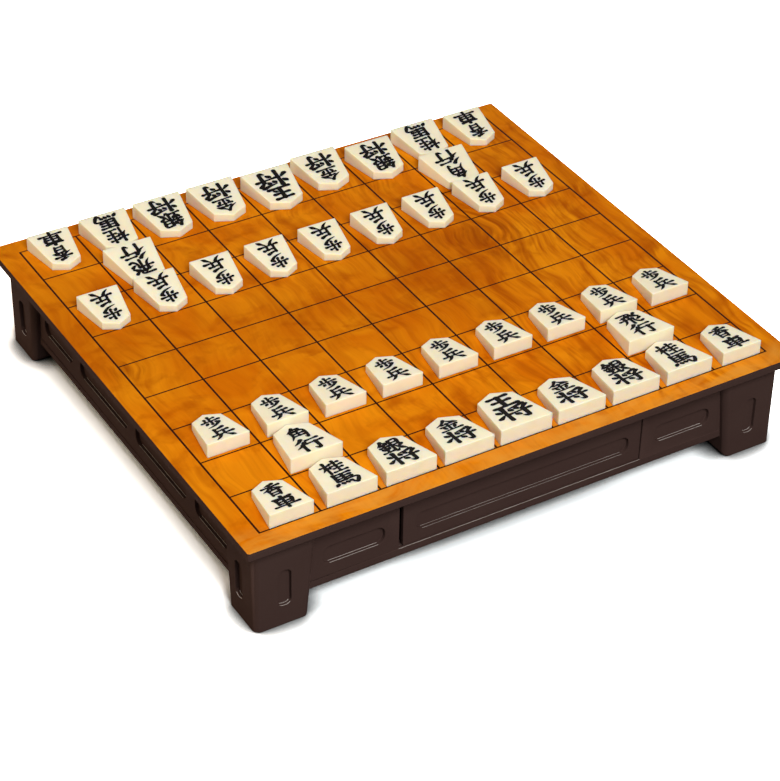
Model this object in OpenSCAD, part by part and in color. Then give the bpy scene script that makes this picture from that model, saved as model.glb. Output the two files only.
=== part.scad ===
/* [Playing grid] */
// Width of one cell, left to right
cell_w = 30.5; // [28:0.5:33]
// Depth of one cell, from player to player
cell_d = 28; // [27:0.5:33]
// Plain border left and right of the grid
border_x = 11.25; // [8:0.25:16]
// Plain border in front of and behind the grid
border_y = 10.5; // [8:0.25:16]

/* [Board] */
// Height of the playing surface above the table
board_h = 53; // [50:1:60]
// Thickness of the printed wood sheet
sheet_t = 1.2; // [0.8:0.1:2]
// Thickness of the deck under the sheet
deck_t = 2.2; // [1.8:0.1:3]
// Height of the deck's turned-down rim
rim_h = 3.4; // [2.6:0.1:4]
// Thickness of the rim
rim_t = 2; // [1.4:0.1:2.4]
// Corner radius of the sheet and the deck
corner_r = 1.2; // [0.6:0.1:3]

/* [Stand] */
// How far the legs stand in from the board's edge
leg_setback = 5.5; // [4.5:0.25:7]
// How far the apron stands in from the board's edge
apron_setback = 10; // [9:0.25:11]
// Clear height under the apron
leg_clear = 11; // [8:0.5:14]
// Width of a leg where it meets the deck
leg_w = 32.6; // [30:0.2:33]
// Depth of a leg where it meets the deck
leg_d = 30.4; // [29:0.2:31]
// How much a leg narrows from top to foot
leg_taper = 4.6; // [2:0.2:5]
// Radius of a leg's upright edges
leg_edge_r = 4.4; // [3:0.2:5]
// Radius of the inner bottom corners of a leg
foot_r = 3; // [2:0.5:5]
// Moulded wall thickness
wall = 2.2; // [1.8:0.1:2.4]
// How far the plinth band stands proud of the apron
band_proud = 0.3; // [0.2:0.1:1]

/* [Panels] */
// Height of the lying recessed panels
panel_h = 9.6; // [6:0.1:11]
// Height of their middle line above the table
panel_z = 26.7; // [24:0.1:32]
// Depth of the recessed panels
panel_depth = 1.9; // [1.2:0.1:3.2]
// Length of the short panels beside a drawer
short_panel = 32; // [26:1:38]
// Distance of a short panel's middle from the board's middle
short_panel_at = 90; // [88:0.2:92]
// Length of the panel on a drawer's front
drawer_panel = 117; // [100:1:124]
// Length of the middle panels on the closed sides
side_panel = 52; // [44:1:54]
// Gap between the panels on the closed sides
side_panel_gap = 9; // [7:0.5:10]
// Height of the upright panel on each leg face
leg_panel_h = 20; // [14:0.1:22]
// Width of the same
leg_panel_w = 6.6; // [5:0.1:10]
// Height of its middle above the table
leg_panel_z = 21.2; // [18:0.2:24]
// Depth of the leg panels
leg_panel_depth = 2.2; // [1.2:0.1:3.6]
// Corner radius of every panel, as a share of its narrow side
panel_round = 0.42; // [0.2:0.01:0.49]

/* [Drawers] */
// Width of a drawer's opening
bay_w = 133; // [124:1:136]
// Height of the sill under a drawer
sill_h = 4.1; // [3:0.1:5]
// Height of a drawer's opening
bay_h = 30; // [26:0.5:30]
// Side play of a drawer in its opening
drawer_play = 2.6; // [1.6:0.1:3.2]
// Length of a drawer from front to back
drawer_l = 114; // [90:1:116]
// Height of the drawer's side walls
drawer_side_h = 25; // [18:1:26]
// How far a drawer slides out
drawer_travel = 78; // [40:1:78]

/* [Koma] */
// Width of a king at its butt
king_w = 27.8; // [24:0.2:28]
// Length of the far king
king_l = 29.2; // [26:0.2:30]
// Length of the near king, the longer of the two
near_king_l = 32; // [28:0.2:33]
// Thickness of a king at its butt
king_butt_t = 8.6; // [6:0.2:10]
// Thickness of a koma at its tip, as a share of its butt
tip_share = 0.48; // [0.35:0.01:0.7]
// Width at the shoulders, as a share of the butt
shoulder_share = 0.69; // [0.6:0.01:0.8]
// Depth of the pointed end, as a share of the length
point_share = 0.15; // [0.1:0.01:0.2]

/* [Hidden] */
$fn = 48;
eps = 0.01;
FILES = 9;
RANKS = 9;

grid_w = FILES * cell_w;
grid_d = RANKS * cell_d;
board_w = grid_w + 2 * border_x;
board_d = grid_d + 2 * border_y;
sheet_z = board_h - sheet_t;
deck_z = sheet_z - deck_t;

leg_x = board_w / 2 - leg_setback;
leg_y = board_d / 2 - leg_setback;
apron_x = board_w / 2 - apron_setback;
apron_y = board_d / 2 - apron_setback;
web_z = 36;
web_t = 2.5;

bay_z = leg_clear + sill_h;
leg_panel_at = 20.8;
leg_draft = 0.3;
// How far the cutter that rounds a leg's inner edges runs past their faces
edge_bite = 0.04;
foot_steps = 8;

runner_t = 1.8;
runner_in = bay_w / 2 + 0.4;
runner_end_gap = 0.3;
flange_w = 5;
flange_t = 1.8;
stop_z = 30;
stop_t = 2;
box_w = bay_w - 5;
box_wall = 1.6;
front_inset = 0.4;
front_gap = 0.5;
near_gap = 0.3;
lug_w = 6;
lug_h = 2;
lug_gap = 0.2;

screw_r = 1.45;
screw_head_r = 3;
screw_head_h = 2;
screw_l = 10;
screw_free_r = 1.7;
slot_l = 3.2;
slot_w = 0.7;
slot_depth = 1;
thread_gap = 0.05;
boss_r = 4;
boss_at = 13.6;

// How far a koma's butt leans back over its height
butt_lean = 0.3;
// Each rank: name, width and length as shares of the king's, thickness likewise
SIZES = [
    ["king", 1, 1, 1],
    ["near_king", 1.01, near_king_l / king_l, 1],
    ["rook", 0.95, 0.98, 0.98],
    ["bishop", 0.97, 0.98, 0.98],
    ["gold", 0.95, 0.965, 0.95],
    ["silver", 0.95, 0.965, 0.95],
    ["knight", 0.935, 0.955, 0.94],
    ["lance", 0.805, 0.925, 0.88],
    ["pawn", 0.785, 0.885, 0.87]
];
BACK_RANK = ["lance", "knight", "silver", "gold", "king", "gold", "silver", "knight", "lance"];

function size_of(rank) = [for (s = SIZES) if (s[0] == rank) s][0];
function file_no(column) = FILES - column;
function koma_name(side, rank, column) =
    rank == "king" || rank == "rook" || rank == "bishop"
        ? str(side, "_", rank)
        : str(side, "_", rank, "_", file_no(column));

// One side's twenty koma: name, rank, column from its own left, rank line
function one_side(side, left) = concat(
    [for (c = [0:8]) [koma_name(side, BACK_RANK[c], left(c)), BACK_RANK[c], c, 0]],
    [[koma_name(side, "bishop", 0), "bishop", 1, 1]],
    [[koma_name(side, "rook", 0), "rook", 7, 1]],
    [for (c = [0:8]) [koma_name(side, "pawn", left(c)), "pawn", c, 2]]
);
NEAR = one_side("near", function(c) c);
FAR = one_side("far", function(c) FILES - 1 - c);

// Flat shapes

module rounded_rect(w, d, r) {
    square([w - 2 * r, d], center = true);
    square([w, d - 2 * r], center = true);
    for (sx = [-1, 1], sy = [-1, 1])
        translate([sx * (w / 2 - r), sy * (d / 2 - r)])
            circle(r);
}

module ring(w, d, t) {
    difference() {
        square([w, d], center = true);
        square([w - 2 * t, d - 2 * t], center = true);
    }
}

// Recessed panels: the shape lies on a face at z = 0 that looks along +z

module recess(length, height, depth) {
    translate([0, 0, -depth])
        linear_extrude(depth + 1)
            rounded_rect(length, height, panel_round * min(length, height));
}

module pad(length, height, depth) {
    translate([0, 0, -depth - wall])
        linear_extrude(depth + wall / 2)
            rounded_rect(length + wall, height + wall, panel_round * min(length, height) + wall / 2);
}

module on_front(x, face, z) {
    translate([x, -face, z])
        rotate([90, 0, 0])
            children();
}

module on_left(face, y, z) {
    translate([-face, y, z])
        rotate([90, 0, -90])
            children();
}

module front_and_back() {
    for (turn = [0, 180])
        rotate([0, 0, turn])
            children();
}

// Calls its child once for every panel of the apron, front, back and sides
module at_short_panels() {
    front_and_back()
        for (s = [-1, 1])
            on_front(s * short_panel_at, apron_y, panel_z)
                children();
}

module at_end_panels() {
    end_at = 1.5 * side_panel_gap + side_panel + short_panel / 2;
    front_and_back()
        for (s = [-1, 1])
            on_left(apron_x, s * end_at, panel_z)
                children();
}

module at_side_panels() {
    front_and_back()
        for (s = [-1, 1])
            on_left(apron_x, s * (side_panel + side_panel_gap) / 2, panel_z)
                children();
}

// One leg, with its outer corner at the origin and its body in +x and +y

module side_profile(w) {
    lean = atan(leg_taper / deck_z);
    foot_x = w - (deck_z - foot_r) * tan(lean) - foot_r / cos(lean);
    foot = [
        for (k = [0:foot_steps])
            let (a = k * (90 - lean) / foot_steps - 90)
                [foot_x + foot_r * cos(a), foot_r + foot_r * sin(a)]
    ];
    polygon(concat([[0, deck_z], [leg_draft, 0]], foot, [[w, deck_z]]));
}

// What rounding takes off the upright edge where a leg's front meets its leaning inner side
module edge_waste(w) {
    lean = atan(leg_taper / deck_z);
    translate([w, 0, deck_z])
        rotate([0, lean, 0])
            translate([-leg_edge_r, leg_edge_r, -deck_z - w])
                linear_extrude(deck_z + 2 * w)
                    difference() {
                        translate([0, -leg_edge_r - 1])
                            square(leg_edge_r + 1);
                        circle(leg_edge_r + edge_bite);
                    }
}

module leg_outside() {
    difference() {
        intersection() {
            translate([leg_w / 2, leg_d / 2, 0])
                linear_extrude(deck_z)
                    rounded_rect(leg_w, leg_d, leg_edge_r);
            translate([0, leg_d, 0])
                rotate([90, 0, 0])
                    linear_extrude(leg_d)
                        side_profile(leg_w);
            rotate([90, 0, 90])
                linear_extrude(leg_w)
                    side_profile(leg_d);
        }
        edge_waste(leg_w);
        mirror([1, -1, 0])
            edge_waste(leg_d);
    }
}

module hollow_profile(w) {
    polygon([
        [wall, -1],
        [w - leg_taper - wall, -1],
        [w - wall, deck_z + 1],
        [wall, deck_z + 1]
    ]);
}

module leg_hollow() {
    difference() {
        intersection() {
            translate([0, leg_d, 0])
                rotate([90, 0, 0])
                    linear_extrude(leg_d)
                        hollow_profile(leg_w);
            rotate([90, 0, 90])
                linear_extrude(leg_w)
                    hollow_profile(leg_d);
        }
        translate([0, 0, web_z])
            cube([leg_w, leg_d, web_t]);
        on_leg_front()
            pad(leg_panel_h, leg_panel_w, leg_panel_depth);
        on_leg_side()
            pad(leg_panel_h, leg_panel_w, leg_panel_depth);
    }
    translate([boss_at, boss_at, web_z - 1])
        cylinder(r = screw_free_r, h = web_t + 2);
}

// Places a shape that looks along +z upright on the leg's front, and on its outer side
module on_leg_front() {
    translate([leg_panel_at - leg_setback, 0, leg_panel_z])
        rotate([90, -90, 0])
            children();
}

module on_leg_side() {
    translate([0, leg_panel_at - leg_setback, leg_panel_z])
        rotate([90, -90, -90])
            children();
}

module leg_recesses() {
    on_leg_front()
        recess(leg_panel_h, leg_panel_w, leg_panel_depth);
    on_leg_side()
        recess(leg_panel_h, leg_panel_w, leg_panel_depth);
}

module at_legs() {
    for (sx = [0, 1], sy = [0, 1])
        mirror([sx, 0, 0])
            mirror([0, sy, 0])
                translate([-leg_x, -leg_y, 0])
                    children();
}

// The pieces

module playing_sheet() {
    color("#DD7E18")
        translate([0, 0, sheet_z])
            linear_extrude(sheet_t)
                rounded_rect(board_w, board_d, corner_r);
}

module runner() {
    // L-shaped rail down the right side of the drawer bay
    run = 2 * (apron_y - wall - runner_end_gap);
    translate([runner_in, -run / 2, bay_z - flange_t])
        cube([runner_t, run, deck_z - bay_z + flange_t + eps]);
    translate([runner_in - flange_w, -run / 2, bay_z - flange_t])
        cube([flange_w + eps, run, flange_t]);
}

module deck() {
    color("#3D2A26")
        union() {
            difference() {
                translate([0, 0, sheet_z - rim_h])
                    linear_extrude(rim_h)
                        rounded_rect(board_w, board_d, corner_r);
                translate([0, 0, sheet_z - rim_h - 1])
                    linear_extrude(rim_h - deck_t + 1)
                        square([board_w - 2 * rim_t, board_d - 2 * rim_t], center = true);
            }
            for (side = [0, 1])
                mirror([side, 0, 0])
                    runner();
            translate([-runner_in - eps, -stop_t / 2, stop_z])
                cube([2 * runner_in + 2 * eps, stop_t, deck_z - stop_z + eps]);
            at_legs()
                translate([boss_at, boss_at, web_z + web_t])
                    difference() {
                        cylinder(r = boss_r, h = deck_z - web_z - web_t + eps);
                        translate([0, 0, -1])
                            cylinder(r = screw_r + thread_gap, h = screw_l);
                    }
        }
}

module stand() {
    ring_x = apron_x + band_proud;
    ring_y = apron_y + band_proud;
    color("#382622")
        difference() {
            union() {
                difference() {
                    union() {
                        translate([0, 0, leg_clear])
                            linear_extrude(deck_z - leg_clear)
                                ring(2 * apron_x, 2 * apron_y, wall);
                        translate([0, 0, leg_clear])
                            linear_extrude(sill_h)
                                ring(2 * ring_x, 2 * ring_y, wall);
                        at_short_panels()
                            pad(short_panel, panel_h, panel_depth);
                        at_end_panels()
                            pad(short_panel, panel_h, panel_depth);
                        at_side_panels()
                            pad(side_panel, panel_h, panel_depth);
                    }
                    translate([-bay_w / 2, -board_d / 2, bay_z])
                        cube([bay_w, board_d, bay_h]);
                }
                at_legs()
                    leg_outside();
            }
            at_legs() {
                leg_hollow();
                leg_recesses();
            }
            at_short_panels()
                recess(short_panel, panel_h, panel_depth);
            at_end_panels()
                recess(short_panel, panel_h, panel_depth);
            at_side_panels()
                recess(side_panel, panel_h, panel_depth);
        }
}

module deck_screws() {
    color("silver")
        at_legs()
            translate([boss_at, boss_at, web_z])
                difference() {
                    union() {
                        translate([0, 0, -screw_head_h])
                            cylinder(r = screw_head_r, h = screw_head_h);
                        cylinder(r = screw_r, h = screw_l);
                    }
                    for (turn = [0, 90])
                        rotate([0, 0, turn])
                            translate([-slot_l / 2, -slot_w / 2, -screw_head_h - eps])
                                cube([slot_l, slot_w, slot_depth + eps]);
                }
}

// The drawer on the near side, pushed in
module drawer() {
    front_w = bay_w - drawer_play;
    front_z = bay_z + front_gap;
    front_h = bay_h - 2 * front_gap;
    front_y = apron_y - front_inset;
    box_l = drawer_l - wall;
    translate([drawer_play / 2 - near_gap, 0, 0])
        difference() {
            union() {
                translate([-front_w / 2, -front_y, front_z])
                    cube([front_w, wall, front_h]);
                on_front(0, front_y, panel_z)
                    pad(drawer_panel, panel_h, panel_depth);
                translate([-box_w / 2, wall - front_y - eps, bay_z])
                    difference() {
                        cube([box_w, box_l, drawer_side_h]);
                        translate([box_wall, -1, box_wall])
                            cube([box_w - 2 * box_wall, box_l + 1 - box_wall, drawer_side_h]);
                    }
                for (side = [0, 1])
                    mirror([side, 0, 0])
                        translate([box_w / 2 - box_wall, drawer_travel + lug_gap + wall - apron_y, bay_z])
                            cube([box_wall, lug_w, bay_h + lug_h]);
            }
            on_front(0, front_y, panel_z)
                recess(drawer_panel, panel_h, panel_depth);
        }
}

module drawer_front() {
    color("#41302B")
        drawer();
}

module drawer_back() {
    color("#41302B")
        rotate([0, 0, 180])
            drawer();
}

// A koma lies with the middle of its butt edge at the origin, tip towards +y
module koma(rank) {
    size = size_of(rank);
    w = king_w * size[1];
    l = king_l * size[2];
    butt = king_butt_t * size[3];
    shoulder = w * shoulder_share / 2;
    shoulder_y = l * (1 - point_share);
    color("#F3E4C6")
        intersection() {
            linear_extrude(butt)
                polygon([
                    [-w / 2, 0],
                    [w / 2, 0],
                    [shoulder, shoulder_y],
                    [0, l],
                    [-shoulder, shoulder_y]
                ]);
            translate([-w / 2, 0, 0])
                rotate([90, 0, 90])
                    linear_extrude(w)
                        polygon([[0, 0], [l, 0], [l, butt * tip_share], [butt_lean, butt]]);
        }
}

// Near koma stand close to the front line of their cell, a little to one side, as their owner set them
function butt_gap(line) = [0.1, 1, 1.6][line];
function near_drift(line) = [0.9, -0.8, 0.2][line];

module near_koma(k) {
    x = (k[2] + 0.5) * cell_w + near_drift(k[3]) - grid_w / 2;
    y = k[3] * cell_d + butt_gap(k[3]) - grid_d / 2;
    translate([x, y, board_h])
        koma(k[0] == "near_king" ? k[0] : k[1]);
}

// Far koma face the other way, with their tips near or just over the front line of their cell.
// Their king and one silver have been moved up.
function tip_gap(line) = [1.5, -2.5, -0.7][line];
function far_drift(line) = [0, -1.1, -0.8][line];
moved_up = 4.4;

module far_koma(k) {
    up = k[0] == "far_king" || k[0] == "far_silver_3" ? moved_up : 0;
    x = grid_w / 2 - (k[2] + 0.5) * cell_w + far_drift(k[3]);
    y = grid_d / 2 - (k[3] + 1) * cell_d + tip_gap(k[3]) - up + king_l * size_of(k[1])[2];
    translate([x, y, board_h])
        rotate([0, 0, 180])
            koma(k[1]);
}

playing_sheet();
deck();
stand();
deck_screws();
drawer_front();
drawer_back();
for (k = NEAR) near_koma(k);
for (k = FAR) far_koma(k);
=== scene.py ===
"""Dresses a table-top shogi board: printed wood, moulded plastic, ivory koma with brushed rank marks."""

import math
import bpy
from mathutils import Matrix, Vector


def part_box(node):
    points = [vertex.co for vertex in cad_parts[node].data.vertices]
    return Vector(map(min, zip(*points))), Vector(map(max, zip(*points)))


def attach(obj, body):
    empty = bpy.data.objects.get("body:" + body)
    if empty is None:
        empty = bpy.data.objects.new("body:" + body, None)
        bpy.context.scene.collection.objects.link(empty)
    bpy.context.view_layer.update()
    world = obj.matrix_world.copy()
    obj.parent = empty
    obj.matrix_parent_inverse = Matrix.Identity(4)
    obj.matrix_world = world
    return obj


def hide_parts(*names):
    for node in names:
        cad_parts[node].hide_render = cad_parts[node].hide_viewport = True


bl_info = {
    "name": "Shogi board",
    "version": (1, 0, 0),
    "blender": (4, 5, 0),
    "location": "View3D > Sidebar > Shogi board",
    "description": "Builds the pieces of a shogi board and its koma around the packed solids",
    "category": "Object",
}

import bmesh
import bpy
from bpy.props import FloatProperty, FloatVectorProperty, PointerProperty
from mathutils import Euler, Matrix, Vector

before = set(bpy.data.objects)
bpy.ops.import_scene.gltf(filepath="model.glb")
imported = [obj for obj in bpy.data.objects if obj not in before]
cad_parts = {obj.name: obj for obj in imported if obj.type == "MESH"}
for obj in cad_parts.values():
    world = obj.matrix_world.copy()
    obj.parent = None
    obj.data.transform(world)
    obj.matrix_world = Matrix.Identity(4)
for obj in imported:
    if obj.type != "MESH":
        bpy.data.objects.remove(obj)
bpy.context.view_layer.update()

MM = 0.001
ROOT = "root"
CELLS = 9
PLINTH = 15.1 * MM  # top of the stand's plinth
BAY = 66.5 * MM  # half the width of a drawer's bay
LEG_X, LEG_Y = 114 * MM, 104 * MM  # the legs stand outside these
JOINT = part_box("stand")[1].z - 1.2 * MM  # above it the stand lies against the deck
# How far two faces may turn from each other and still be one flat, and beyond what their edge is rounded or creased
ONE_FLAT, ROUNDED, CREASED = math.radians(1), math.radians(35), math.radians(40)


def linear(code):
    """An sRGB hex colour as linear RGB."""
    parts = [int(code[k : k + 2], 16) / 255 for k in (1, 3, 5)]
    return tuple(c / 12.92 if c <= 0.04045 else ((c + 0.055) / 1.055) ** 2.4 for c in parts)


def colour(name, code, about):
    return FloatVectorProperty(
        name=name, description=about, subtype="COLOR", size=3, min=0, max=1, default=linear(code)
    )


def length(name, size_mm, about):
    return FloatProperty(
        name=name, description=about, subtype="DISTANCE", unit="LENGTH", min=0, precision=5, default=size_mm * MM
    )


def share(name, part, about):
    return FloatProperty(name=name, description=about, subtype="FACTOR", min=0, max=1, default=part)


def angle(name, degrees, about):
    return FloatProperty(
        name=name, description=about, subtype="ANGLE", unit="ROTATION", default=math.radians(degrees)
    )


# What a user would change


class SheetSettings(bpy.types.PropertyGroup):
    cell_w: length("Cell width", 30.5, "From one upright line to the next")
    cell_d: length("Cell depth", 28, "From one cross line to the next")
    upright: length("Upright line", 1.0, "Width of a line that runs up the board")
    across: length("Cross line", 0.8, "Width of a line that runs across the board")
    corner: length("Corner radius", 1.2, "Rounding of the sheet's corners, seen from above")
    edge: length("Edge radius", 0.3, "Rounding along the sheet's upper edge")
    foot_edge: length("Lower edge radius", 0.05, "Rounding along the sheet's lower edge")
    pale: colour("Pale wood", "#E3870C", "Lightest tone of the printed grain")
    honey: colour("Honey wood", "#CC6803", "Middle tone of the printed grain")
    amber: colour("Amber wood", "#A04400", "Darker streaks of the printed grain")
    russet: colour("Russet wood", "#7E2C00", "The darkest streaks, round the knots")
    # A paler tone laid over the front border
    front_border_pale: colour("Bleached wood", "#D4882D", "The front border, where hands have faded the print")
    ruling: colour("Ruling", "#1E0D04", "Ink of the grid")


class PlasticSettings(bpy.types.PropertyGroup):
    edge: length("Edge radius", 0.28, "Rounding along the edges of the deck and the stand")
    drawer_edge: length("Drawer edge radius", 0.17, "Rounding along the edges of a drawer")
    screw_edge: length("Screw edge radius", 0.12, "Rounding along the edges of a screw")
    brown: colour("Brown", "#45312C", "The moulded plastic")
    # Paler clouds of wear on the plastic, which are also laid into the painted highlight
    wear_and_highlight: colour("Worn brown", "#4B3731", "The plastic where it has been handled")
    # Painted highlight: the pale tint of the upward roundings on the stand and drawers, standing in for their glint
    painted_highlight: colour("Rubbed edge", "#B5A59C", "The upper edges, polished pale by hands and dust")
    zinc: colour("Zinc", "#B9BCBF", "The plated screws")


class KomaSettings(bpy.types.PropertyGroup):
    edge: length("Edge radius", 0.4, "Rounding round the upper face")
    foot_edge: length("Foot radius", 0.2, "Rounding round the underside")
    corner: length("Corner radius", 0.5, "Rounding of the upright corners, seen from above")
    tip: share("Tip height", 0.48, "Height of a koma's tip, as a share of its butt's")
    shoulder: share("Shoulder width", 0.69, "Width across a koma's shoulders, as a share of its butt's")
    point: share("Point length", 0.15, "Length of a koma's point beyond its shoulders, as a share of the whole")
    ink_height: length("Ink height", 0.06, "How far the lettering stands above the face")
    ivory: colour("Ivory", "#F5E6C8", "The moulded ivory plastic")
    ivory_warm: colour("Warm ivory", "#F2E1BF", "Its slightly deeper clouds")
    ink: colour("Ink", "#100D0B", "The lettering")


class StageSettings(bpy.types.PropertyGroup):
    floor: colour("Floor", "#FFF8F4", "The plain floor")
    # Reaches of the painted shade that ambient occlusion lays into the floor's colour
    contact: length("Contact shadow", 12, "How far from a foot the floor darkens")
    cover: length("Cover", 70, "How far up the board still darkens the floor")
    eye: FloatVectorProperty(
        name="Camera", description="Where the camera stands", subtype="TRANSLATION", unit="LENGTH",
        default=(-0.53586, -0.88918, 0.76741),
    )
    azimuth: angle("Azimuth", -31.958, "Which way the camera is turned")
    elevation: angle("Elevation", 36.513, "How far the camera looks down")
    roll: angle("Roll", 1.465, "How far the camera leans")
    lens: FloatProperty(
        name="Lens", description="Focal length in millimetres", subtype="DISTANCE_CAMERA", default=118.7
    )


# Materials. The photograph's light is so even that it shows hardly any gloss, so the specular levels are low.

# Of the printed wood, in millimetres. The grain's sway: how wide it is along each axis, and twice how far it goes
SWAY_SIZE, SWAY = (70, 55, 60), (26, 60, 0)
# Knots: middle, reach and how far they push the grain aside
KNOTS = ((74, 29, 24, 13), (-134, 10, 9, 5))
# Wide patches: middle, reach, how far they cover and in which tone
PATCHES = (
    (36, 9, 40, 0.45, "amber"), (-50, 6, 30, 0.3, "amber"), (-150, 45, 50, 0.45, "amber"), (88, -20, 26, 0.7, "pale"),
)


def add_node(tree, kind, sockets=None, **settings):
    """Adds a shader node. sockets gives each input a value, or the output that it is linked to."""
    node = tree.nodes.new("ShaderNode" + kind)
    for name, value in settings.items():
        setattr(node, name, value)
    for name, value in (sockets or {}).items():
        if isinstance(value, bpy.types.NodeSocket):
            tree.links.new(value, node.inputs[name])
        else:
            node.inputs[name].default_value = value
    return node


def rgba(value):
    return (*value, 1)


def new_material(name, finish):
    """A material with its tree, its shader and the place on the object in millimetres.
    finish gives the shader's sockets that are the same all over."""
    material = bpy.data.materials.new(name)
    material.use_nodes = True
    tree = material.node_tree
    shader = tree.nodes["Principled BSDF"]
    for socket, value in finish.items():
        shader.inputs[socket].default_value = value
    place = add_node(tree, "TexCoord").outputs["Object"]
    place_mm = add_node(tree, "VectorMath", {0: place, "Scale": 1 / MM}, operation="SCALE").outputs["Vector"]
    return material, tree, shader, place_mm


def pattern(tree, place_mm, size_mm, detail=3, low=0, high=1, least=0, most=1):
    """Soft spots of a real size, in millimetres along each axis. They give a share that runs from least to most
    while the noise behind them runs from low to high."""
    sized = add_node(tree, "VectorMath", {0: place_mm, 1: size_mm}, operation="DIVIDE").outputs["Vector"]
    noise = add_node(tree, "TexNoise", {"Vector": sized, "Scale": 1, "Detail": detail}).outputs["Fac"]
    ends = {"From Min": low, "From Max": high, "To Min": least, "To Max": most}
    return add_node(tree, "MapRange", {"Value": noise, **ends}).outputs["Result"]


def mottle(tree, shader, base, shade, *spots, **ends):
    """Colours a surface in a base tone, with spots of another shade, which are given as for pattern."""
    cover = pattern(tree, *spots, **ends)
    tone = add_node(tree, "Mix", {"Factor": cover, "A": rgba(base), "B": rgba(shade)}, data_type="RGBA")
    tree.links.new(tone.outputs["Result"], shader.inputs["Base Color"])


def roughen(tree, shader, strength, depth, *grain):
    """Gives a surface a fine relief, whose grain is given as for pattern."""
    heights = pattern(tree, *grain)
    bump = add_node(tree, "Bump", {"Height": heights, "Strength": strength, "Distance": depth})
    tree.links.new(bump.outputs["Normal"], shader.inputs["Normal"])


def round_spot(tree, place_mm, x, y, reach):
    """The way from a spot's middle, in units of its reach, and how the spot fades out along it."""
    away = add_node(tree, "VectorMath", {0: place_mm, 1: (x, y, 0)}, operation="SUBTRACT").outputs["Vector"]
    flat = (1 / reach, 1 / reach, 0)
    way = add_node(tree, "VectorMath", {0: away, 1: flat}, operation="MULTIPLY").outputs["Vector"]
    squared = add_node(tree, "VectorMath", {0: way, 1: way}, operation="DOT_PRODUCT").outputs["Value"]
    fade = add_node(tree, "Math", {0: math.exp(-1), 1: squared}, operation="POWER").outputs["Value"]
    return way, fade


def swaying_grain(tree, place_mm):
    """The place on the print, shifted so that the grain sways and bows round the knots, and how near a knot it is."""
    wide = add_node(tree, "VectorMath", {0: place_mm, 1: SWAY_SIZE}, operation="DIVIDE").outputs["Vector"]
    noise = add_node(tree, "TexNoise", {"Vector": wide, "Scale": 1, "Detail": 2}).outputs["Color"]
    sway = add_node(tree, "VectorMath", {0: noise, 1: (0.5, 0.5, 0.5)}, operation="SUBTRACT").outputs["Vector"]
    shift = {0: sway, 1: SWAY, 2: place_mm}
    bent = add_node(tree, "VectorMath", shift, operation="MULTIPLY_ADD").outputs["Vector"]
    nearness = 0
    for x, y, reach, push in KNOTS:
        way, fade = round_spot(tree, place_mm, x, y, reach)
        aside = add_node(tree, "VectorMath", {0: way, "Scale": fade}, operation="SCALE").outputs["Vector"]
        shift = {0: aside, 1: (-push, -push, -push), 2: bent}
        bent = add_node(tree, "VectorMath", shift, operation="MULTIPLY_ADD").outputs["Vector"]
        nearness = add_node(tree, "Math", {0: nearness, 1: fade}, operation="ADD").outputs["Value"]
    return bent, nearness


def printed_wood():
    """Lacquered paper print of figured maple: honey clouds, amber streaks up the board, russet ones round two knots.
    The lacquer lets its gloss wander with the clouds and has a trace of orange peel."""
    s = bpy.context.scene.shogi_sheet
    finish = {"IOR": 1.5, "Specular IOR Level": 0.008}
    material, tree, shader, place_mm = new_material("lacquered_maple_print", finish)
    grain, by_knot = swaying_grain(tree, place_mm)
    at = add_node(tree, "SeparateXYZ", {"Vector": place_mm}).outputs
    # Streaks are strong to the right and fade to the left, where the print shows clouds
    ends = {"From Min": -60, "From Max": 60, "To Min": 0.3, "To Max": 0.85}
    rightward = add_node(tree, "MapRange", {"Value": at["X"], **ends}).outputs["Result"]
    at_front = add_node(tree, "MapRange", {"Value": at["Y"], "From Min": -119, "From Max": -127}).outputs["Result"]

    clouds = (24, 30, 40)
    tints = [(pattern(tree, grain, clouds, low=0.32, high=0.68), s.pale)]
    for x, y, reach, most, shade in PATCHES:
        fade = round_spot(tree, place_mm, x, y, reach)[1]
        cover = add_node(tree, "Math", {0: fade, 1: most}, operation="MULTIPLY").outputs["Value"]
        tints.append((cover, getattr(s, shade)))
    # Each layer: size of its spots, noise between which they fade in, how far they cover, where, and in which tone
    for size_mm, low, high, most, where, shade in (
        ((7, 55, 50), 0.48, 0.75, 1, rightward, s.amber),
        ((3, 24, 20), 0.48, 0.78, 1, rightward, s.amber),
        ((1.1, 16, 14), 0.5, 0.8, 0.12, 1, s.amber),
        ((12, 12, 20), 0.52, 0.78, 0.7, 1, s.amber),
        ((2.2, 16, 14), 0.45, 0.68, 0.85, by_knot, s.russet),
        ((16, 7, 12), 0.3, 0.65, 0.85, at_front, s.front_border_pale),
    ):
        spots = pattern(tree, grain, size_mm, low=low, high=high, most=most)
        tints.append((add_node(tree, "Math", {0: spots, 1: where}, operation="MULTIPLY").outputs["Value"], shade))
    tone = rgba(s.honey)
    for cover, shade in tints:
        tone = add_node(tree, "Mix", {"Factor": cover, "A": tone, "B": rgba(shade)}, data_type="RGBA").outputs["Result"]
    tree.links.new(tone, shader.inputs["Base Color"])
    tree.links.new(pattern(tree, grain, clouds, least=0.22, most=0.36), shader.inputs["Roughness"])
    roughen(tree, shader, 0.1, 0.02 * MM, place_mm, (2.5, 2.5, 2.5), 1)
    return material


def ruling_ink():
    """Screen-printed line ink: near black, and slightly uneven where the wood's tone comes through."""
    s = bpy.context.scene.shogi_sheet
    finish = {"Roughness": 0.42, "Specular IOR Level": 0.02}
    material, tree, shader, place_mm = new_material("screen_printed_ruling", finish)
    mottle(tree, shader, s.ruling, s.amber, place_mm, (0.8, 0.8, 0.8), 2, low=0.4, high=0.8, most=0.12)
    return material


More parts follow.
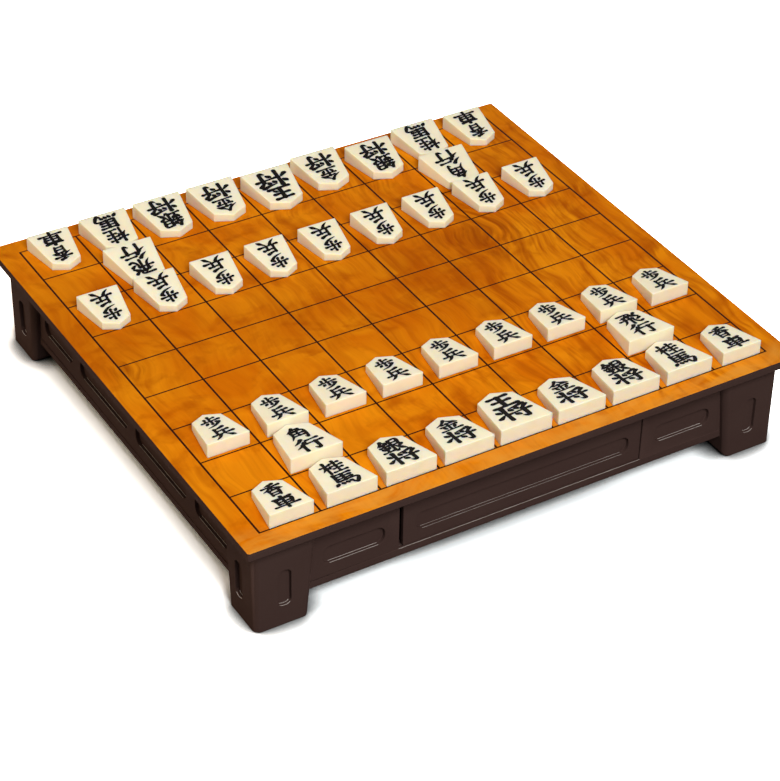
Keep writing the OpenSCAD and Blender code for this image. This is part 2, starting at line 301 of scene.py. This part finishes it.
def moulded_plastic(name, roughness):
    """Injection-moulded ABS from a spark-eroded mould: dark and satin, a little paler in clouds where it is handled.
    The real grain is about 0.1 mm across, and is drawn at 0.5 mm so that it shows."""
    s = bpy.context.scene.shogi_plastic
    material, tree, shader, place_mm = new_material(name, {"IOR": 1.53, "Specular IOR Level": 0.0005})
    clouds = (30, 30, 18)
    mottle(tree, shader, s.brown, s.wear_and_highlight, place_mm, clouds, low=0.35, high=0.8, most=0.5)
    gloss = pattern(tree, place_mm, clouds, least=roughness - 0.06, most=roughness + 0.08)
    tree.links.new(gloss, shader.inputs["Roughness"])
    roughen(tree, shader, 0.12, 0.05 * MM, place_mm, (0.5, 0.5, 0.5), 2)
    return material


def painted_highlight_plastic():
    """The same ABS painted pale on the upward roundings: a painted highlight that stands in for their glint, a thin
    pale line that draws every recess.
    """
    s = bpy.context.scene.shogi_plastic
    finish = {"Roughness": 0.35, "Specular IOR Level": 0.02}
    material, tree, shader, place_mm = new_material("painted_highlight_brown_abs", finish)
    mottle(tree, shader, s.painted_highlight, s.wear_and_highlight, place_mm, (9, 9, 9), low=0.35, high=0.75, most=0.5)
    return material


def ivory_plastic():
    """Moulded urea plastic in ivory, tumbled smooth: faint warm clouds, a soft gloss, and light that sinks in a little
    and warms the sides that it doesn't reach."""
    s = bpy.context.scene.shogi_koma
    finish = {
        "IOR": 1.54, "Specular IOR Level": 0.004,
        "Subsurface Weight": 0.8, "Subsurface Radius": (1, 0.75, 0.35), "Subsurface Scale": 4 * MM,
    }
    material, tree, shader, place_mm = new_material("polished_ivory_urea", finish)
    clouds = (9, 14, 9)
    mottle(tree, shader, s.ivory, s.ivory_warm, place_mm, clouds, low=0.35, high=0.7)
    tree.links.new(pattern(tree, place_mm, clouds, least=0.3, most=0.42), shader.inputs["Roughness"])
    return material


def letter_ink():
    """Hot-stamped black lettering, a touch matter than the plastic round it."""
    s = bpy.context.scene.shogi_koma
    finish = {"Base Color": rgba(s.ink), "Specular IOR Level": 0.03}
    material, tree, shader, place_mm = new_material("hot_stamped_black", finish)
    tree.links.new(pattern(tree, place_mm, (1.2, 1.2, 1.2), 2, least=0.4, most=0.6), shader.inputs["Roughness"])
    return material


def zinc_plate():
    """Zinc-plated steel: bright, with the soft cloud of plating."""
    s = bpy.context.scene.shogi_plastic
    material, tree, shader, place_mm = new_material("zinc_plated_steel", {"Base Color": rgba(s.zinc), "Metallic": 1})
    tree.links.new(pattern(tree, place_mm, (2, 2, 2), least=0.25, most=0.45), shader.inputs["Roughness"])
    return material


# Meshes


def rounded_outline(corners, radius, steps=3):
    """The arc centres and outward directions round a convex outline, which runs counter-clockwise."""
    pairs = []
    for k, corner in enumerate(corners):
        into = (corner - corners[k - 1]).normalized()
        out_of = (corners[(k + 1) % len(corners)] - corner).normalized()
        before, after = Vector((into.y, -into.x)), Vector((out_of.y, -out_of.x))
        centre = corner - (before + after) * radius / (1 + before.dot(after))
        pairs += [(centre, before.slerp(after, s / steps)) for s in range(steps + 1)]
    return pairs


def stack_rings(bm, rings):
    """Joins rings of points, from the lowest up, into one closed skin."""
    loops = [[bm.verts.new(point) for point in ring] for ring in rings]
    for low, high in zip(loops, loops[1:]):
        for k in range(len(low)):
            bm.faces.new((low[k - 1], low[k], high[k], high[k - 1]))
    bm.faces.new(loops[0][::-1])
    bm.faces.new(loops[-1])


def edge_steps(radius, steps=3):
    """A quarter round as (inset, drop) pairs, from the wall to the flat."""
    turns = [math.pi / 2 * s / steps for s in range(steps + 1)]
    return [(radius * (1 - math.cos(t)), radius * (1 - math.sin(t))) for t in turns]


def slab_rings(pairs, corner_radius, foot_z, foot_edge, top_z, top_edge):
    """Rings for a solid with rounded corners and edges. top_z is a function of x and y."""
    rings = []
    for inset, drop in edge_steps(foot_edge)[::-1]:
        rings.append([(*(c + n * (corner_radius - inset)), foot_z + drop) for c, n in pairs])
    for inset, drop in edge_steps(top_edge):
        flat = [c + n * (corner_radius - inset) for c, n in pairs]
        rings.append([(*p, top_z(p.x, p.y) - drop) for p in flat])
    return rings


def to_piece(name, bm, materials, body, replaced):
    """Makes a piece of the mesh, smooth but for its flats, and hands it to its body."""
    bmesh.ops.recalc_face_normals(bm, faces=bm.faces)
    mesh = bpy.data.meshes.new(name)
    bm.to_mesh(mesh)
    bm.free()
    mesh.polygons.foreach_set("use_smooth", [True] * len(mesh.polygons))
    mesh.set_sharp_from_angle(angle=CREASED)
    for material in materials:
        mesh.materials.append(material)
    piece = bpy.data.objects.new(name, mesh)
    bpy.context.scene.collection.objects.link(piece)
    weighted = piece.modifiers.new("flat faces", "WEIGHTED_NORMAL")
    weighted.keep_sharp = True
    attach(piece, body)
    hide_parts(replaced)


def cut(bm, point, normal):
    """Cuts the whole mesh along a plane and keeps both sides."""
    whole = bm.verts[:] + bm.edges[:] + bm.faces[:]
    bmesh.ops.bisect_plane(bm, geom=whole, plane_co=point, plane_no=normal)


def softened(node, width, keep=None, wear_and_highlight=None):
    """A copy of a solid's skin with its sharp edges rounded, apart from those to keep.
    The roundings that the given test picks get the second material, a painted highlight."""
    bm = bmesh.new()
    bm.from_mesh(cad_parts[node].data)
    bmesh.ops.remove_doubles(bm, verts=bm.verts, dist=1e-6)
    bmesh.ops.dissolve_limit(bm, angle_limit=ONE_FLAT, verts=bm.verts, edges=bm.edges)
    if wear_and_highlight:
        for side in (-BAY, BAY):
            cut(bm, (side, 0, 0), (1, 0, 0))
    sharp = [
        edge for edge in bm.edges
        if edge.is_manifold and edge.calc_face_angle() > ROUNDED and not (keep and keep(edge))
    ]
    rounded = bmesh.ops.bevel(
        bm, geom=sharp, offset=width, segments=2, profile=0.5, affect="EDGES", clamp_overlap=False
    )
    for face in bm.faces:
        face.material_index = 0
    # Roundings that the test picks get the painted highlight material
    if wear_and_highlight:
        for face in rounded["faces"]:
            face.normal_update()
            face.material_index = int(wear_and_highlight(face))
    low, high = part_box(node)
    for vert in bm.verts:
        vert.co = [min(max(v, a), b) for v, a, b in zip(vert.co, low, high)]
    return bm


def upward_highlight_edge(face):
    """True where a straight rounding looks up, so that it gets the painted highlight. On the legs it may turn further.
    Beside a drawer the plinth's edge is left out."""
    at = face.calc_center_median()
    at_leg = abs(at.x) > LEG_X and abs(at.y) > LEG_Y
    straight = min(abs(face.normal.x), abs(face.normal.y)) < (0.5 if at_leg else 0.12)
    on_plinth = abs(at.z - PLINTH) <= MM and abs(at.x) >= BAY
    return straight and 0.6 < face.normal.z < 0.95 and not on_plinth


def left_sharp(edge):
    """True for the stand's edges against the deck, and in the plinth's corner, where there's no room to round."""
    low, high = sorted(vert.co.z for vert in edge.verts)
    in_corner = not edge.is_convex and low > PLINTH - 0.1 * MM and high < PLINTH + 0.1 * MM
    return low > JOINT or in_corner


# Koma lettering: each stroke is a kind and the points that the brush passes, on a field 10 wide and 10 high

# How hard the brush presses along each kind, at even steps
PRESS = {
    "across": (1.0, 0.62, 0.66, 1.15),
    "broad": (1.35, 1.0, 1.05, 1.5),
    "post": (1.5, 1.3, 1.3, 1.4),
    "down": (1.2, 0.85, 0.85, 1.0),
    "sweep": (1.25, 1.0, 0.7, 0.15),
    "swell": (0.4, 0.75, 1.35, 0.3),
    "dot": (0.4, 1.15, 1.1, 0.7),
    "turn": (0.9, 0.75, 1.1, 0.85),
    "hook": (1.1, 0.85, 1.0, 0.2),
}
STROKES = {
    "walk": [
        ("down", (5.1, 9.9), (5.0, 6.1)), ("across", (5.1, 8.1), (7.6, 8.6)), ("down", (2.9, 8.3), (2.7, 6.0)),
        ("across", (0.7, 5.6), (9.4, 6.5)), ("hook", (5.2, 6.0), (5.1, 3.0), (4.2, 3.4)),
        ("dot", (3.4, 4.7), (2.0, 3.2)), ("dot", (6.8, 5.0), (8.2, 3.9)), ("sweep", (8.4, 3.9), (5.6, 1.5), (1.4, 0.2)),
    ],
    "soldier": [
        ("sweep", (7.2, 9.7), (5.2, 8.9), (2.6, 8.3)), ("down", (3.0, 8.6), (2.8, 4.2)),
        ("across", (3.0, 6.4), (8.2, 7.0)), ("down", (6.1, 6.7), (6.0, 4.2)), ("across", (0.3, 3.6), (9.8, 4.5)),
        ("sweep", (3.7, 3.4), (2.6, 1.7), (0.6, 0.3)), ("swell", (6.0, 3.4), (7.6, 1.9), (9.4, 0.4)),
    ],
    "scent": [
        ("sweep", (7.0, 9.8), (5.0, 9.2), (2.8, 8.8)), ("across", (0.7, 7.4), (9.4, 8.1)),
        ("down", (5.0, 9.2), (5.0, 4.9)), ("sweep", (4.7, 7.5), (3.0, 5.7), (0.3, 4.5)),
        ("swell", (5.3, 7.5), (7.4, 5.8), (9.8, 4.8)), ("down", (2.9, 4.4), (3.0, 0.2)),
        ("turn", (2.9, 4.3), (7.2, 4.7), (7.0, 0.2)), ("across", (3.1, 2.4), (6.9, 2.6)),
        ("across", (3.0, 0.6), (7.0, 0.8)),
    ],
    "cart": [
        ("across", (1.5, 8.3), (8.5, 8.9)), ("down", (2.2, 7.2), (2.3, 3.4)),
        ("turn", (2.2, 7.1), (7.9, 7.5), (7.7, 3.5)), ("across", (2.4, 5.3), (7.6, 5.5)),
        ("across", (2.3, 3.6), (7.7, 3.8)), ("across", (0.2, 1.8), (9.8, 2.4)), ("down", (5.0, 9.9), (5.0, 0.0)),
    ],
    "laurel": [
        ("across", (0.2, 6.8), (4.3, 7.5)), ("down", (2.4, 9.9), (2.3, 0.2)),
        ("sweep", (2.3, 6.7), (1.5, 4.6), (0.1, 3.0)), ("dot", (2.7, 5.8), (4.0, 4.3)),
        ("across", (5.0, 8.1), (9.0, 8.6)), ("down", (6.9, 9.9), (6.9, 5.8)), ("across", (4.4, 5.7), (9.7, 6.3)),
        ("across", (5.0, 3.5), (9.0, 3.9)), ("down", (6.9, 5.5), (6.9, 0.9)), ("across", (4.0, 0.6), (9.9, 1.1)),
    ],
    "horse": [
        ("down", (2.3, 9.5), (2.1, 3.9)), ("across", (2.3, 9.1), (8.3, 9.6)), ("down", (5.1, 9.1), (5.1, 3.9)),
        ("across", (2.4, 7.3), (7.7, 7.6)), ("across", (2.3, 5.5), (7.7, 5.8)),
        ("turn", (2.1, 3.7), (8.9, 4.3), (8.6, 1.4), (7.6, 0.1)), ("sweep", (7.8, 0.2), (6.4, 1.2)),
        ("dot", (1.7, 2.6), (0.5, 0.7)), ("dot", (2.9, 2.6), (3.4, 1.1)), ("dot", (4.5, 2.7), (5.1, 1.3)),
        ("dot", (6.0, 2.9), (6.8, 1.7)),
    ],
    "silver": [
        ("sweep", (2.5, 9.9), (1.6, 8.1), (0.0, 6.6)), ("swell", (2.5, 9.7), (3.6, 8.4), (4.9, 7.6)),
        ("across", (1.2, 7.0), (3.8, 7.3)), ("across", (0.6, 5.2), (4.4, 5.6)), ("down", (2.5, 7.1), (2.5, 0.9)),
        ("dot", (0.9, 4.4), (1.5, 2.7)), ("dot", (4.1, 4.6), (3.4, 3.0)), ("across", (0.1, 0.5), (4.9, 1.2)),
        ("turn", (5.5, 9.2), (8.9, 9.6), (8.7, 5.4)), ("across", (5.7, 7.3), (8.6, 7.5)),
        ("across", (5.7, 5.4), (8.6, 5.6)), ("hook", (5.6, 9.2), (5.6, 0.6), (7.3, 1.8)),
        ("sweep", (9.4, 4.7), (8.2, 3.7), (7.0, 3.1)), ("swell", (6.3, 5.2), (7.7, 2.6), (9.9, 0.2)),
    ],
    "general": [
        ("dot", (0.6, 8.3), (1.6, 6.6)), ("sweep", (0.2, 3.0), (2.1, 5.0)), ("down", (2.8, 9.8), (2.7, 0.1)),
        ("sweep", (9.0, 9.8), (6.8, 8.9), (4.2, 8.4)), ("dot", (4.3, 7.9), (5.0, 6.5)), ("dot", (6.2, 8.2), (6.7, 6.8)),
        ("sweep", (9.5, 8.5), (8.5, 7.2), (7.5, 6.2)), ("across", (3.5, 4.6), (9.9, 5.4)),
        ("hook", (7.9, 6.4), (7.8, 0.4), (6.2, 1.3)), ("dot", (4.9, 3.9), (6.0, 2.4)),
    ],
    "gold": [
        ("sweep", (5.0, 10.0), (3.3, 7.6), (0.0, 5.7)), ("swell", (5.1, 9.8), (7.3, 7.6), (10.0, 6.1)),
        ("across", (2.7, 6.2), (7.5, 6.7)), ("across", (1.4, 4.2), (8.8, 4.8)), ("down", (5.0, 6.5), (5.0, 0.8)),
        ("dot", (2.3, 3.8), (3.3, 1.9)), ("dot", (7.9, 4.0), (6.8, 2.0)), ("across", (0.3, 0.3), (9.8, 1.0)),
    ],
    "king": [
        ("broad", (1.4, 8.6), (8.7, 9.3)), ("post", (5.0, 9.1), (5.0, 0.9)), ("broad", (1.8, 5.0), (8.3, 5.5)),
        ("broad", (0.4, 0.5), (9.6, 1.1)),
    ],
    "jewel": [("dot", (6.3, 3.9), (7.9, 2.4))],
    "flight": [
        ("turn", (1.0, 9.0), (6.3, 9.4), (6.8, 7.2), (9.6, 5.7)), ("sweep", (9.3, 9.0), (8.3, 8.0), (7.2, 7.6)),
        ("dot", (7.6, 7.5), (8.9, 6.6)), ("sweep", (4.9, 7.9), (3.4, 6.9), (1.0, 6.3)),
        ("across", (0.2, 4.2), (6.6, 4.9)), ("sweep", (2.9, 6.8), (2.6, 2.8), (0.6, 0.2)),
        ("down", (5.2, 7.6), (5.1, 0.0)), ("turn", (6.5, 5.3), (6.8, 2.4), (8.4, 0.7), (9.9, 1.4)),
        ("sweep", (9.5, 4.3), (8.4, 3.4), (7.4, 3.0)),
    ],
    "horn": [
        ("sweep", (4.4, 10.0), (3.0, 8.2), (0.9, 6.8)), ("turn", (3.8, 8.7), (7.0, 9.0), (5.7, 7.2)),
        ("sweep", (2.4, 6.9), (2.2, 3.0), (0.4, 0.1)), ("hook", (2.4, 6.8), (8.3, 7.1), (8.2, 0.5), (6.8, 1.2)),
        ("down", (5.3, 6.9), (5.3, 3.0)), ("across", (2.5, 4.9), (8.0, 5.2)), ("across", (2.3, 2.9), (8.0, 3.2)),
    ],
    "going": [
        ("sweep", (3.6, 9.8), (2.4, 8.1), (0.5, 6.7)), ("sweep", (3.9, 7.0), (2.4, 4.8), (0.1, 3.2)),
        ("down", (2.7, 5.3), (2.7, 0.1)), ("across", (5.0, 8.2), (9.0, 8.7)), ("across", (4.1, 5.6), (9.9, 6.2)),
        ("hook", (7.5, 6.1), (7.4, 0.5), (5.7, 1.4)),
    ],
}
STROKES["jewel"] = STROKES["king"] + STROKES["jewel"]
# The two marks of each rank: name, width, height and middle from the butt, all in millimetres
MARKS = {
    "pawn": (("walk", 10, 9.8, 17.4), ("soldier", 11, 10.8, 6.4)),
    "lance": (("scent", 10, 10.2, 18.0), ("cart", 12.2, 9.8, 6.4)),
    "knight": (("laurel", 10.8, 10.3, 18.4), ("horse", 13.6, 10.6, 7.0)),
    "silver": (("silver", 11.8, 10.8, 19.0), ("general", 15.0, 10.4, 7.6)),
    "gold": (("gold", 11, 9.6, 19.6), ("general", 15.0, 10.4, 8.4)),
    "near_king": (("king", 13.6, 10.8, 22.4), ("general", 17.6, 11.6, 10.8)),
    "far_king": (("jewel", 12.6, 9.6, 20.6), ("general", 17.4, 12.0, 9.0)),
    "bishop": (("horn", 10.6, 10.4, 18.6), ("going", 14, 11.0, 7.2)),
    "rook": (("flight", 11.6, 10.6, 19.2), ("going", 13.4, 10.8, 7.6)),
}
HALF_BRUSH = 0.75  # half the width of a stroke for each unit of pressure, on the field of 10


def along(points, part):
    """The point at a part of the way along a smooth line through the points."""
    spans = len(points) - 1
    k = min(int(part * spans), spans - 1)
    t = part * spans - k
    a, b, c, d = (Vector(points[max(0, min(spans, k + j))]) for j in (-1, 0, 1, 2))
    return 0.5 * (2 * b + (c - a) * t + (2 * a - 5 * b + 4 * c - d) * t * t + (3 * b - a - 3 * c + d) * t**3)


def pressure(kind, part):
    """How hard the brush presses at a part of the way along a stroke."""
    profile = PRESS[kind]
    at = part * (len(profile) - 1)
    k = min(int(at), len(profile) - 2)
    return profile[k] + (profile[k + 1] - profile[k]) * (at - k)


def brush_stroke(kind, points):
    """The closed outline of one stroke, with round ends."""
    count = 6 * (len(points) - 1) + 3  # enough for a smooth bend
    middle = [along(points, k / (count - 1)) for k in range(count)]
    left, right = [], []
    for k, p in enumerate(middle):
        way = (middle[min(k + 1, count - 1)] - middle[max(k - 1, 0)]).normalized()
        side = Vector((-way.y, way.x)) * HALF_BRUSH * pressure(kind, k / (count - 1))
        left.append(p + side)
        right.append(p - side)
    start = (left[0] - right[0]) / 2
    end = (right[-1] - left[-1]) / 2
    cap = [math.pi * s / 4 for s in (1, 2, 3)]
    first = [middle[0] + Matrix.Rotation(a, 2) @ start for a in cap][::-1]
    last = [middle[-1] + Matrix.Rotation(a, 2) @ end for a in cap][::-1]
    return left + last + right[::-1] + first


def add_mark(bm, mark, place, ink_height):
    """Adds a character as closed strokes that stand a little out of the face, each a trace higher than the last,
    so that no two tops lie in one plane. place maps (across, up, height)."""
    name, width, height, middle = mark
    for k, (kind, *points) in enumerate(STROKES[name]):
        ring = [
            ((p.x - 5) / 10 * width * MM, ((p.y - 5) / 10 * height + middle) * MM) for p in brush_stroke(kind, points)
        ]
        low, high = (
            [bm.verts.new(place(u, v, lift)) for u, v in ring] for lift in (-ink_height, ink_height * (1 + 0.02 * k))
        )
        faces = [bm.faces.new((low[j - 1], low[j], high[j], high[j - 1])) for j in range(len(low))]
        faces += [bm.faces.new(low[::-1]), bm.faces.new(high)]
        for face in faces:
            face.material_index = 1


def koma_mesh(rank, low, high, near):
    """One koma in its CAD node's place: a five-sided wedge, tip away from its player, with its rank's two marks."""
    s = bpy.context.scene.shogi_koma
    width, depth, butt = high - low
    half, shoulders = width / 2, depth * (1 - s.point)
    corners = [
        (-half, 0), (half, 0), (half * s.shoulder, shoulders), (0, depth), (-half * s.shoulder, shoulders),
    ]
    fall = butt * (1 - s.tip) / depth
    pairs = rounded_outline([Vector(c) for c in corners], s.corner)
    bm = bmesh.new()
    stack_rings(bm, slab_rings(pairs, s.corner, 0, s.foot_edge, lambda x, y: butt - fall * y, s.edge))
    slope = math.atan(fall)

    def on_face(u, v, lift):
        y = v * math.cos(slope) + lift * math.sin(slope)
        return (u, y, butt - v * math.sin(slope) + lift * math.cos(slope))

    for mark in MARKS[rank]:
        add_mark(bm, mark, on_face, s.ink_height)
    butt_y = low.y if near else high.y
    turn = 0 if near else math.pi
    place = Matrix.Translation(((low.x + high.x) / 2, butt_y, low.z)) @ Matrix.Rotation(turn, 4, "Z")
    bmesh.ops.transform(bm, matrix=place, verts=bm.verts)
    return bm


# Operators: one for each piece or group of like pieces, and one for the stage


class SHOGI_OT_sheet(bpy.types.Operator):
    """Makes the printed playing sheet with its ruled grid"""

    bl_idname = "shogi.sheet"
    bl_label = "Playing sheet"

    def execute(self, context):
        s = context.scene.shogi_sheet
        low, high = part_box("playing_sheet")
        corners = [Vector(c) for c in ((low.x, low.y), (high.x, low.y), (high.x, high.y), (low.x, high.y))]
        bm = bmesh.new()
        pairs = rounded_outline(corners, s.corner, 4)
        stack_rings(bm, slab_rings(pairs, s.corner, low.z, s.foot_edge, lambda x, y: high.z, s.edge))
        rulings = ((0, s.cell_w, s.upright), (1, s.cell_d, s.across))
        for axis, cell, width in rulings:
            for k in range(CELLS + 1):
                for side in (-1, 1):
                    point, normal = Vector(), Vector()
                    point[axis], normal[axis] = (k - CELLS / 2) * cell + side * width / 2, 1
                    cut(bm, point, normal)
        reach_x, reach_y = (CELLS * cell / 2 + width for axis, cell, width in rulings)
        for face in bm.faces:
            at = face.calc_center_median()
            lines = [at[axis] / cell + CELLS / 2 for axis, cell, width in rulings]
            on_line = any(abs(k - round(k)) * cell < width / 2 for k, (axis, cell, width) in zip(lines, rulings))
            if face.normal.z > 0.9 and on_line and abs(at.x) < reach_x and abs(at.y) < reach_y:
                face.material_index = 1
            elif abs(face.normal.z) < 0.5:
                face.material_index = 2
        materials = [printed_wood(), ruling_ink(), moulded_plastic("lacquered_edge", 0.4)]
        to_piece("printed_sheet", bm, materials, ROOT, "playing_sheet")
        return {"FINISHED"}


class SHOGI_OT_mouldings(bpy.types.Operator):
    """Makes the deck, the stand and the two drawers in dark moulded plastic"""

    bl_idname = "shogi.mouldings"
    bl_label = "Deck, stand and drawers"

    def execute(self, context):
        s = context.scene.shogi_plastic
        stand_plastic = moulded_plastic("satin_brown_abs", 0.42)
        drawer_plastic = moulded_plastic("satin_brown_abs_drawer", 0.38)
        # Pale material painted on the upward roundings as a painted highlight
        wear_and_highlight = painted_highlight_plastic()
        to_piece("deck_moulding", softened("deck", s.edge), [stand_plastic], ROOT, "deck")
        stand = softened("stand", s.edge, left_sharp, upward_highlight_edge)
        to_piece("stand_moulding", stand, [stand_plastic, wear_and_highlight], ROOT, "stand")
        for node in ("drawer_front", "drawer_back"):
            tray = softened(node, s.drawer_edge, wear_and_highlight=upward_highlight_edge)
            to_piece(node + "_tray", tray, [drawer_plastic, wear_and_highlight], node, node)
        return {"FINISHED"}


class SHOGI_OT_screws(bpy.types.Operator):
    """Makes the four plated screws inside the legs"""

    bl_idname = "shogi.screws"
    bl_label = "Deck screws"

    def execute(self, context):
        screws = softened("deck_screws", context.scene.shogi_plastic.screw_edge)
        to_piece("plated_screws", screws, [zinc_plate()], ROOT, "deck_screws")
        return {"FINISHED"}


class SHOGI_OT_koma(bpy.types.Operator):
    """Makes the forty koma with the two marks of their rank"""

    bl_idname = "shogi.koma"
    bl_label = "Koma"

    def execute(self, context):
        materials = [ivory_plastic(), letter_ink()]
        for node in sorted(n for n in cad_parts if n.startswith(("near_", "far_"))):
            side, rank = node.split("_")[:2]
            rank = node if rank == "king" else rank
            bm = koma_mesh(rank, *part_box(node), side == "near")
            to_piece("koma_" + node, bm, materials, node, node)
        return {"FINISHED"}


# The stage, in metres

FLOOR_REACH = 6
SHADE_ENDS = (0.09, 0.8)  # how open the sky over the floor is where its shadow is full, and where it ends
SWEEP_ENDS = (0.35, 0.6)  # how far from the middle the lit floor begins to give way to the backdrop, and is gone
BOUNCE = 0.1  # how pale the floor is for the light that it sheds on the object
SKY = 0.17  # how strongly the white sky lights the object
# Softboxes: place, size, power in watts and colour
LAMPS = {
    "key": ((-0.2, -1.1, 1.05), 0.55, 21, (0.89, 0.99, 1.03)),
    "top": ((-0.3, 0.15, 1.5), 1.0, 6.7, (1, 0.87, 0.8)),
    "left": ((-1.41, 0.35, 0.3), 0.8, 5.6, (1, 0.9, 0.56)),
}
AIM = (0, 0, 0.05)
FRAME_WIDTH, VIEW_CENTRE = 780, 415  # in pixels: the photograph's width, and where its view axis crosses it


def seen_share(tree):
    """1 for what a camera, a gloss or clear plastic sees, and 0 for the light that the surface sheds."""
    rays = add_node(tree, "LightPath").outputs
    seen = rays["Is Camera Ray"]
    for ray in ("Is Glossy Ray", "Is Transmission Ray"):
        seen = add_node(tree, "Math", {0: seen, 1: rays[ray]}, operation="MAXIMUM").outputs["Value"]
    return seen


def white_floor(s):
    """A plain floor that is seen as white but for the object's shadow. It looks four times as bright as its light
    makes it, so only a shadow brings it below white, and painted shade from ambient occlusion in its colour makes it
    darker still under and beside the object."""
    material = bpy.data.materials.new("white_floor")
    material.use_nodes = True
    tree = material.node_tree
    tree.nodes.remove(tree.nodes["Principled BSDF"])
    above = add_node(tree, "AmbientOcclusion", {"Distance": s.cover}, samples=16).outputs["AO"]
    ends = {"From Min": SHADE_ENDS[0], "From Max": SHADE_ENDS[1]}
    open_sky = add_node(tree, "MapRange", {"Value": above, **ends}).outputs["Result"]
    beside = add_node(tree, "AmbientOcclusion", {"Distance": s.contact}, samples=8).outputs["AO"]
    clear = add_node(tree, "Math", {0: beside, 1: 3}, operation="POWER").outputs["Value"]
    bright = add_node(tree, "Math", {0: open_sky, 1: clear}, operation="MULTIPLY").outputs["Value"]
    shaded = {"Factor": bright, "A": (0, 0, 0, 1), "B": rgba(s.floor)}
    tone = add_node(tree, "Mix", shaded, data_type="RGBA").outputs["Result"]
    lit = add_node(tree, "BsdfDiffuse", {"Color": tone}).outputs["BSDF"]
    for doubling in range(2):
        lit = add_node(tree, "AddShader", {0: lit, 1: lit}).outputs["Shader"]
    # Beyond the shadow's reach the floor is the plain white backdrop, which no lamp's fall-off greys
    place = add_node(tree, "TexCoord").outputs["Object"]
    away = add_node(tree, "VectorMath", {0: place}, operation="LENGTH").outputs["Value"]
    ends = {"From Min": SWEEP_ENDS[0], "From Max": SWEEP_ENDS[1]}
    far = add_node(tree, "MapRange", {"Value": away, **ends}).outputs["Result"]
    backdrop = add_node(tree, "Emission", {"Color": (1, 1, 1, 1), "Strength": 1}).outputs["Emission"]
    white = add_node(tree, "MixShader", {"Fac": far, 1: lit, 2: backdrop}).outputs["Shader"]
    grey = add_node(tree, "BsdfDiffuse", {"Color": (BOUNCE, BOUNCE, BOUNCE, 1)}).outputs["BSDF"]
    shown = add_node(tree, "MixShader", {"Fac": seen_share(tree), 1: grey, 2: white}).outputs["Shader"]
    tree.links.new(shown, tree.nodes["Material Output"].inputs["Surface"])
    return material


def soft_sky():
    """A world that lights the object softly and evenly, and is seen as white."""
    world = bpy.data.worlds.new("studio")
    world.use_nodes = True
    tree = world.node_tree
    soft = tree.nodes["Background"]
    soft.inputs["Color"].default_value = (1, 1, 1, 1)
    soft.inputs["Strength"].default_value = SKY
    white = add_node(tree, "Background", {"Color": (1, 1, 1, 1), "Strength": 1}).outputs["Background"]
    mix = add_node(tree, "MixShader", {"Fac": seen_share(tree), 1: soft.outputs["Background"], 2: white})
    tree.links.new(mix.outputs["Shader"], tree.nodes["World Output"].inputs["Surface"])
    return world


class SHOGI_OT_stage(bpy.types.Operator):
    """Makes the floor, the lamps and the camera"""

    bl_idname = "shogi.stage"
    bl_label = "Floor, light and camera"

    def execute(self, context):
        s, scene = context.scene.shogi_stage, context.scene
        mesh = bpy.data.meshes.new("floor")
        corners = [(x * FLOOR_REACH, y * FLOOR_REACH, 0) for x, y in ((-1, -1), (1, -1), (1, 1), (-1, 1))]
        mesh.from_pydata(corners, [], [(0, 1, 2, 3)])
        mesh.materials.append(white_floor(s))
        floor = bpy.data.objects.new("floor", mesh)
        scene.collection.objects.link(floor)
        scene.world = soft_sky()

        for name, (at, size, power, tint) in LAMPS.items():
            data = bpy.data.lights.new(name, "AREA")
            data.size, data.energy, data.color = size, power, tint
            lamp = bpy.data.objects.new(name, data)
            scene.collection.objects.link(lamp)
            lamp.location = at
            lamp.rotation_euler = (Vector(at) - Vector(AIM)).to_track_quat("Z", "Y").to_euler()

        data = bpy.data.cameras.new("camera")
        data.lens, data.sensor_width = s.lens, 36
        data.shift_x = (FRAME_WIDTH / 2 - VIEW_CENTRE) / FRAME_WIDTH
        data.clip_start, data.clip_end = 0.05, 30
        camera = bpy.data.objects.new("camera", data)
        scene.collection.objects.link(camera)
        camera.location = s.eye
        tilt = Euler((math.pi / 2 - s.elevation, 0, s.azimuth)).to_matrix()
        camera.rotation_euler = (tilt @ Matrix.Rotation(s.roll, 3, "Z")).to_euler()
        scene.camera = camera
        scene.view_settings.view_transform = "Standard"
        return {"FINISHED"}


OPERATORS = (SHOGI_OT_stage, SHOGI_OT_sheet, SHOGI_OT_mouldings, SHOGI_OT_screws, SHOGI_OT_koma)
SETTINGS = {
    "shogi_sheet": SheetSettings,
    "shogi_plastic": PlasticSettings,
    "shogi_koma": KomaSettings,
    "shogi_stage": StageSettings,
}


class SHOGI_PT_parts(bpy.types.Panel):
    """Lists what can be built, and the sizes and colours that it is built in"""

    bl_label = "Shogi board"
    bl_space_type = "VIEW_3D"
    bl_region_type = "UI"
    bl_category = "Shogi board"

    def draw(self, context):
        for operator in OPERATORS:
            self.layout.operator(operator.bl_idname)
        for name, group in SETTINGS.items():
            box = self.layout.box()
            for setting in group.__annotations__:
                box.prop(getattr(context.scene, name), setting)


def register():
    for group in (*SETTINGS.values(), *OPERATORS, SHOGI_PT_parts):
        bpy.utils.register_class(group)
    for name, group in SETTINGS.items():
        setattr(bpy.types.Scene, name, PointerProperty(type=group))


def unregister():
    for name in SETTINGS:
        delattr(bpy.types.Scene, name)
    for group in (SHOGI_PT_parts, *reversed(OPERATORS), *SETTINGS.values()):
        bpy.utils.unregister_class(group)


def main():
    register()
    for operator in OPERATORS:
        group, name = operator.bl_idname.split(".")
        getattr(getattr(bpy.ops, group), name)()


if __name__ == "__main__":
    main()
